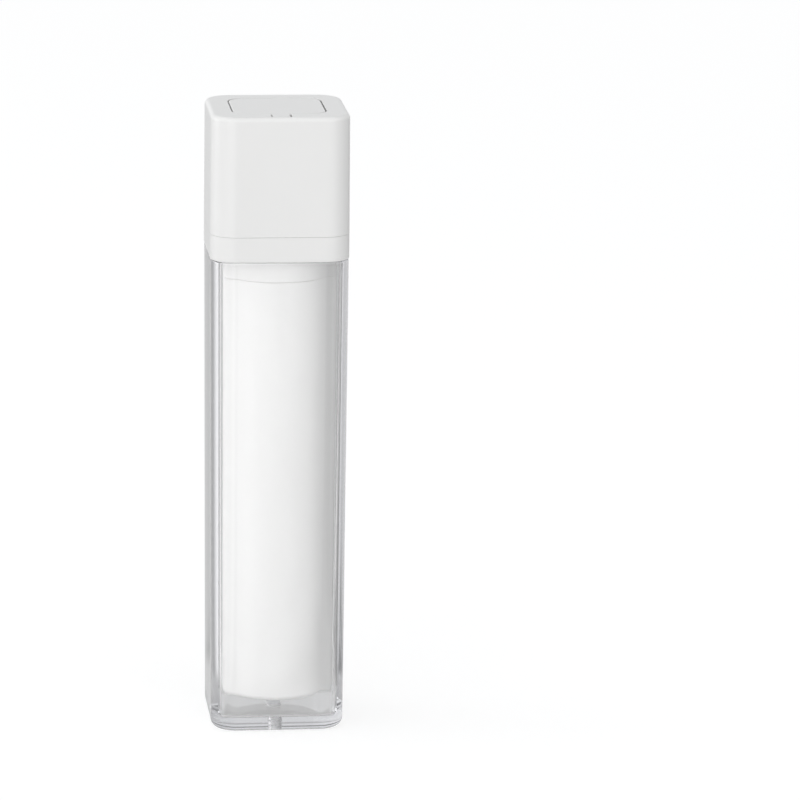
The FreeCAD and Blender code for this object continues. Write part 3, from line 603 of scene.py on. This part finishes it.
class Finish(Nodes):
    """A material, with short ways to build up its pattern."""

    def __init__(self, name):
        self.material = bpy.data.materials.new(name)
        self.material.use_nodes = True
        super().__init__(self.material.node_tree)
        self.output = self.add("ShaderNodeOutputMaterial")
        self.place = self.add("ShaderNodeTexCoord").outputs["Object"]

    def grain(self, size, detail, stretch=None):
        """Noise whose features are about this many millimetres across."""
        noise = self.add("ShaderNodeTexNoise")
        noise.inputs["Scale"].default_value = 1 / (size * MM)
        noise.inputs["Detail"].default_value = detail
        if stretch is None:
            self.join(self.place, noise.inputs["Vector"])
        else:
            mapping = self.add("ShaderNodeMapping")
            mapping.inputs["Scale"].default_value = stretch
            self.join(self.place, mapping.inputs["Vector"])
            self.join(mapping.outputs["Vector"], noise.inputs["Vector"])
        return noise.outputs["Fac"]

    def shades(self, source, low, high):
        """Colour between two shades."""
        ramp = self.add("ShaderNodeValToRGB")
        first, last = ramp.color_ramp.elements
        first.position = LOW_SHADE_AT
        first.color = (*low, 1)
        last.position = HIGH_SHADE_AT
        last.color = (*high, 1)
        self.join(source, ramp.inputs["Fac"])
        return ramp.outputs["Color"]

    def between(self, source, low, high):
        """Number between two values."""
        span = self.add("ShaderNodeMapRange")
        span.inputs["To Min"].default_value = low
        span.inputs["To Max"].default_value = high
        self.join(source, span.inputs["Value"])
        return span.outputs["Result"]

    def near_axis(self, inner, outer, value):
        """This value within the inner radius, falling to nothing at the outer one."""
        level = self.vector("MULTIPLY", self.place, (1, 1, 0))
        fall = self.add("ShaderNodeMapRange")
        fall.inputs["From Min"].default_value = inner * MM
        fall.inputs["From Max"].default_value = outer * MM
        fall.inputs["To Min"].default_value = value
        fall.inputs["To Max"].default_value = 0
        self.join(self.vector("LENGTH", level, output="Value"), fall.inputs["Value"])
        return fall.outputs["Result"]

    def relief(self, source, strength, depth):
        """Bumps this many millimetres deep."""
        bump = self.add("ShaderNodeBump")
        bump.inputs["Strength"].default_value = strength
        bump.inputs["Distance"].default_value = depth * MM
        self.join(source, bump.inputs["Height"])
        return bump.outputs["Normal"]

    def surface(self, **values):
        """The main shader, with these values on its own sockets."""
        shader = self.add("ShaderNodeBsdfPrincipled")
        for name, value in values.items():
            shader.inputs[name.replace("_", " ")].default_value = value
        self.join(shader.outputs["BSDF"], self.output.inputs["Surface"])
        return shader


VENT_MATT = 0.5
VENT_MATT_INNER = VENT + 0.1
VENT_MATT_OUTER = VENT + 0.3
MOST_REFLECTIONS = 3.5
CLEAR_TINT = (0.9, 0.9, 0.906, 1)
CLEAR_DENSITY = 110


def clear_acrylic():
    """Polished clear plastic with the faint draw of a moulded wall and a matt air hole.

    Lamps shine through it, and so does a ray that has been reflected often inside it.
    """
    finish = Finish("clear_acrylic")
    shader = finish.surface(IOR=1.5, Transmission_Weight=1.0)
    shader.inputs["Base Color"].default_value = (1, 1, 1, 1)
    polish = finish.between(finish.grain(size=9, detail=3), low=0.0, high=0.03)
    matt = finish.near_axis(VENT_MATT_INNER, VENT_MATT_OUTER, VENT_MATT)
    finish.join(finish.math("MAXIMUM", polish, matt), shader.inputs["Roughness"])
    draw = finish.grain(size=14, detail=1, stretch=(1, 1, 0.25))
    finish.join(finish.relief(draw, strength=0.03, depth=0.1), shader.inputs["Normal"])

    see_through = finish.add("ShaderNodeBsdfTransparent")
    see_through.inputs["Color"].default_value = (1, 1, 1, 1)
    path = finish.add("ShaderNodeLightPath")
    often = finish.math("GREATER_THAN", path.outputs["Glossy Depth"], MOST_REFLECTIONS)
    let_out = finish.math("MAXIMUM", path.outputs["Is Shadow Ray"], often)
    either = finish.add("ShaderNodeMixShader")
    finish.feed(either, (let_out, shader.outputs["BSDF"], see_through.outputs["BSDF"]))
    finish.join(either.outputs["Shader"], finish.output.inputs["Surface"])

    depth = finish.add("ShaderNodeVolumeAbsorption")
    depth.inputs["Color"].default_value = CLEAR_TINT
    depth.inputs["Density"].default_value = CLEAR_DENSITY
    finish.join(depth.outputs["Volume"], finish.output.inputs["Volume"])
    return finish.material


def white_plastic(name, low, high, shine, grain_depth):
    """Moulded white plastic: faint mottling, uneven gloss and a fine moulded grain."""
    finish = Finish(name)
    shader = finish.surface(IOR=1.5)
    mottling = finish.grain(size=11, detail=3)
    finish.join(finish.shades(mottling, low, high), shader.inputs["Base Color"])
    finish.join(finish.between(finish.grain(size=4, detail=4), *shine), shader.inputs["Roughness"])
    skin = finish.grain(size=0.5, detail=2)
    finish.join(finish.relief(skin, strength=0.2, depth=grain_depth), shader.inputs["Normal"])
    return finish.material


def milky_plastic(name, low, high):
    """Unpigmented plastic of the pump's inner pieces."""
    finish = Finish(name)
    shader = finish.surface(IOR=1.49, Subsurface_Weight=0.15)
    shader.inputs["Subsurface Radius"].default_value = (2 * MM, 2 * MM, 2 * MM)
    clouding = finish.grain(size=6, detail=3)
    finish.join(finish.shades(clouding, low, high), shader.inputs["Base Color"])
    finish.join(finish.between(finish.grain(size=2, detail=4), 0.38, 0.5), shader.inputs["Roughness"])
    skin = finish.grain(size=0.3, detail=2)
    finish.join(finish.relief(skin, strength=0.2, depth=0.01), shader.inputs["Normal"])
    return finish.material


def steel(name, low, high, shine, lay):
    """Bare steel with fine marks along its lay."""
    finish = Finish(name)
    shader = finish.surface(Metallic=1.0)
    marks = finish.grain(size=0.4, detail=4, stretch=lay)
    finish.join(finish.shades(marks, low, high), shader.inputs["Base Color"])
    finish.join(finish.between(marks, *shine), shader.inputs["Roughness"])
    return finish.material


CLEAR = clear_acrylic()
HEAD_WHITE = white_plastic("head_white", (0.85, 0.845, 0.835), (0.855, 0.85, 0.84), (0.26, 0.32), 0.002)
CREAM_WHITE = white_plastic("cream_white", (0.797, 0.794, 0.787), (0.802, 0.799, 0.792), (0.28, 0.36), 0.003)
NOZZLE_WHITE = white_plastic("nozzle_white", (0.78, 0.78, 0.77), (0.82, 0.82, 0.81), (0.3, 0.4), 0.004)
ACETAL_WHITE = white_plastic("acetal_white", (0.76, 0.76, 0.74), (0.81, 0.81, 0.79), (0.36, 0.48), 0.008)
MILKY_PUMP = milky_plastic("milky_pump", (0.66, 0.69, 0.69), (0.74, 0.77, 0.77))
MILKY_PISTON = milky_plastic("milky_piston", (0.74, 0.76, 0.74), (0.82, 0.83, 0.81))
SEAL = milky_plastic("seal_rubber", (0.52, 0.52, 0.5), (0.62, 0.62, 0.6))
SPRING_STEEL = steel("spring_wire", (0.42, 0.42, 0.44), (0.58, 0.58, 0.6), (0.25, 0.4), (1, 1, 6))
BALL_STEEL = steel("ball_steel", (0.6, 0.6, 0.62), (0.68, 0.68, 0.7), (0.08, 0.16), (1, 1, 1))


# Put the pieces on their bodies, and the finishes on them.

def paint(mesh, finish):
    """This finish and no other."""
    mesh.materials.clear()
    mesh.materials.append(finish)


def fit(piece, node, body, finish):
    """The piece stands for this node, moves with this body and has this finish."""
    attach(piece, body)
    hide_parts(node)
    paint(piece.data, finish)


fit(make_clear_wall(), "outer_bottle", "bottle", CLEAR)
fit(make_cream_bottle(), "inner_bottle", "bottle", CREAM_WHITE)
fit(make_neck_ring(), "pump_collar", "bottle", CREAM_WHITE)
fit(make_collar_band(), "shoulder_collar", "bottle", HEAD_WHITE)
fit(make_head_cover(), "head_shell", "head", HEAD_WHITE)
fit(make_press_button(), "button", "button", HEAD_WHITE)
fit(make_nozzle_tip(), "nozzle_insert", "button", NOZZLE_WHITE)

wire_spring = make_wire_spring()
fit(wire_spring, "return_spring", "bottle", SPRING_STEEL)
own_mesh(wire_spring)

INNER_FINISHES = {
    "follower_piston": MILKY_PISTON,
    "neck_gasket": SEAL,
    "pump_housing": MILKY_PUMP,
    "ball_retainer": MILKY_PUMP,
    "inlet_ball": BALL_STEEL,
    "pump_piston": MILKY_PISTON,
    "lower_stem": ACETAL_WHITE,
    "upper_stem": ACETAL_WHITE,
    "stem_guide": MILKY_PUMP,
    "cam_sleeve": ACETAL_WHITE,
    "turn_sleeve": ACETAL_WHITE,
    "lift_sleeve": ACETAL_WHITE,
}
for node, finish in INNER_FINISHES.items():
    paint(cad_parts[node].data, finish)


# Floor of white paper. Off a gloss and through the clear wall it shows its glow,
# which changes round the bottle: painted light, whose bands show in the clear wall as painted reflections
# and dark lines.

PAPER_SIZE = 6
PAPER_DROP = -0.2 * MM
PAPER_GREY = (0.4, 0.4, 0.4, 1)
GLOW_WHITE = (0.7, 0.7, 0.7, 1)
# Degrees from +X about the glow's centre, and strength there; these bright and dark bands are painted light.
PAPER_GLOW = (
    (-180, 1.2), (-103, 1.2), (-96, 0.0), (-90, 0.0), (-85, 1.0), (-77, 1.0), (-72, 0.0), (-20, 0.0),
    (31, 0.3), (56, 0.18), (59, 0.23), (61, 0.5), (64, 0.9), (67, 1.35), (70, 1.25), (74, 0.15),
    (78, 0.1), (90, 0.1), (93, 0.4), (96, 0.43), (98, 0.15), (101, 0.2), (104, 0.5), (107, 0.65),
    (113, 0.75), (127, 0.7), (140, 1.0), (180, 1.2),
)
GLOW_CENTRE = (-15 * MM, 14 * MM, 0)
# Painted light near the bottle: there the glow keeps one level, which the clear base shows.
UNDER_GLOW = 0.5
UNDER_REACH = 45 * MM
OPEN_REACH = 67.5 * MM
# A curve holds no value above one, so it holds the strengths divided by this.
MOST_GLOW = 2.0


def glow_round_bottle(finish):
    """Strength of the paper's painted glow by its direction from the centre."""
    around = finish.add("ShaderNodeTexGradient", gradient_type="RADIAL")
    finish.join(finish.vector("SUBTRACT", finish.place, GLOW_CENTRE), around.inputs["Vector"])
    glow = finish.add("ShaderNodeFloatCurve")
    finish.join(around.outputs["Fac"], glow.inputs["Value"])
    curve = glow.mapping.curves[0]
    for angle, strength in PAPER_GLOW[1:-1]:
        curve.points.new(angle / 360 + 0.5, strength / MOST_GLOW)
    curve.points[0].location.y = PAPER_GLOW[0][1] / MOST_GLOW
    curve.points[-1].location.y = PAPER_GLOW[-1][1] / MOST_GLOW
    for point in curve.points:
        point.handle_type = "VECTOR"
    glow.mapping.update()
    return finish.math("MULTIPLY", glow.outputs["Value"], MOST_GLOW)


def seen_glow(finish):
    """One for rays from the camera, the paper's glow for mirrored rays, else zero."""
    away = finish.add("ShaderNodeMapRange", interpolation_type="SMOOTHSTEP")
    away.inputs["From Min"].default_value = UNDER_REACH
    away.inputs["From Max"].default_value = OPEN_REACH
    away.inputs["To Min"].default_value = UNDER_GLOW
    finish.join(finish.vector("LENGTH", finish.place, output="Value"), away.inputs["Value"])
    finish.join(glow_round_bottle(finish), away.inputs["To Max"])
    path = finish.add("ShaderNodeLightPath")
    seen = finish.mirrored(path)
    return finish.math("MULTIPLY_ADD", seen, away.outputs["Result"], path.outputs["Is Camera Ray"])


def make_floor():
    let_go()
    bpy.ops.mesh.primitive_plane_add(size=PAPER_SIZE, location=(0, 0, PAPER_DROP))
    floor = bpy.context.object
    floor.name = "studio_floor"
    finish = Finish("studio_floor")
    paper = finish.add("ShaderNodeBsdfDiffuse")
    paper.inputs["Color"].default_value = PAPER_GREY
    glow = finish.add("ShaderNodeEmission")
    glow.inputs["Color"].default_value = GLOW_WHITE
    finish.join(seen_glow(finish), glow.inputs["Strength"])
    both = finish.add("ShaderNodeAddShader")
    finish.feed(both, (paper.outputs["BSDF"], glow.outputs["Emission"]))
    finish.join(both.outputs["Shader"], finish.output.inputs["Surface"])
    floor.data.materials.append(finish.material)


# Room, lamps and camera.

ROOM_WHITE = (0.99, 1.0, 1.01, 1)
ROOM_LEVEL = 0.84
ROOM_LEAN = (-0.26, -0.2, -0.19)
BACKDROP = (0, 0.36, 0)


def make_world():
    """Pale room, strongest from the front left, with a backdrop that only mirrored rays see."""
    world = bpy.data.worlds.new("studio")
    bpy.context.scene.world = world
    world.use_nodes = True
    nodes = Nodes(world.node_tree)
    way = nodes.add("ShaderNodeTexCoord").outputs["Generated"]
    lean = nodes.vector("DOT_PRODUCT", way, ROOM_LEAN, output="Value")
    behind = nodes.vector("DOT_PRODUCT", way, BACKDROP, output="Value")
    seen = nodes.mirrored(nodes.add("ShaderNodeLightPath"))
    backdrop = nodes.math("MULTIPLY", seen, behind, clamp=True)
    level = nodes.math("ADD", nodes.math("ADD", lean, ROOM_LEVEL), backdrop)
    room = nodes.add("ShaderNodeBackground")
    room.inputs["Color"].default_value = ROOM_WHITE
    nodes.join(level, room.inputs["Strength"])
    output = nodes.add("ShaderNodeOutputWorld")
    nodes.join(room.outputs["Background"], output.inputs["Surface"])


def add_softbox(name, stand, target, width, height, power):
    """Rectangular lamp at its stand, turned to its target; metres and watts."""
    light = bpy.data.lights.new(name, "AREA")
    light.shape = "RECTANGLE"
    light.size = width
    light.size_y = height
    light.energy = power
    lamp = bpy.data.objects.new(name, light)
    bpy.context.scene.collection.objects.link(lamp)
    lamp.visible_camera = False
    lamp.location = stand
    lamp.rotation_euler = (Vector(target) - Vector(stand)).to_track_quat("-Z", "Y").to_euler()


CAMERA_PLACE = (-0.102993, -1.235420, 0.369309)
CAMERA_YAW = 0.108208
CAMERA_PITCH = 0.228298
CAMERA_ROLL = 0.012102
FOCAL_PIXELS = 5123.947
FRAME_PIXELS = 800
SENSOR = 36


def make_camera():
    """Camera at the photograph's viewing angle."""
    forward = Vector(
        (
            math.sin(CAMERA_YAW) * math.cos(CAMERA_PITCH),
            math.cos(CAMERA_YAW) * math.cos(CAMERA_PITCH),
            -math.sin(CAMERA_PITCH),
        )
    )
    level = Vector((math.cos(CAMERA_YAW), -math.sin(CAMERA_YAW), 0))
    rise = level.cross(forward)
    right = math.cos(CAMERA_ROLL) * level + math.sin(CAMERA_ROLL) * rise
    up = math.cos(CAMERA_ROLL) * rise - math.sin(CAMERA_ROLL) * level
    data = bpy.data.cameras.new("photo_camera")
    data.sensor_width = SENSOR
    data.lens = FOCAL_PIXELS * SENSOR / FRAME_PIXELS
    camera = bpy.data.objects.new("photo_camera", data)
    bpy.context.scene.collection.objects.link(camera)
    turn = Matrix((right, up, -forward)).transposed().to_4x4()
    camera.matrix_world = Matrix.Translation(CAMERA_PLACE) @ turn
    bpy.context.scene.camera = camera


make_floor()
make_world()
add_softbox("key_softbox", (-0.55, -1.2, 0.15), (0, 0, 0.08), width=0.9, height=0.6, power=4.2)
add_softbox("fill_softbox", (0.7, -1.1, 0.15), (0, 0, 0.08), width=0.8, height=0.6, power=4.3)
add_softbox("left_softbox", (-1.1, 0.25, 0.2), (0, 0, 0.07), width=0.5, height=0.5, power=2.5)
make_camera()
bpy.context.scene.view_settings.view_transform = "Standard"
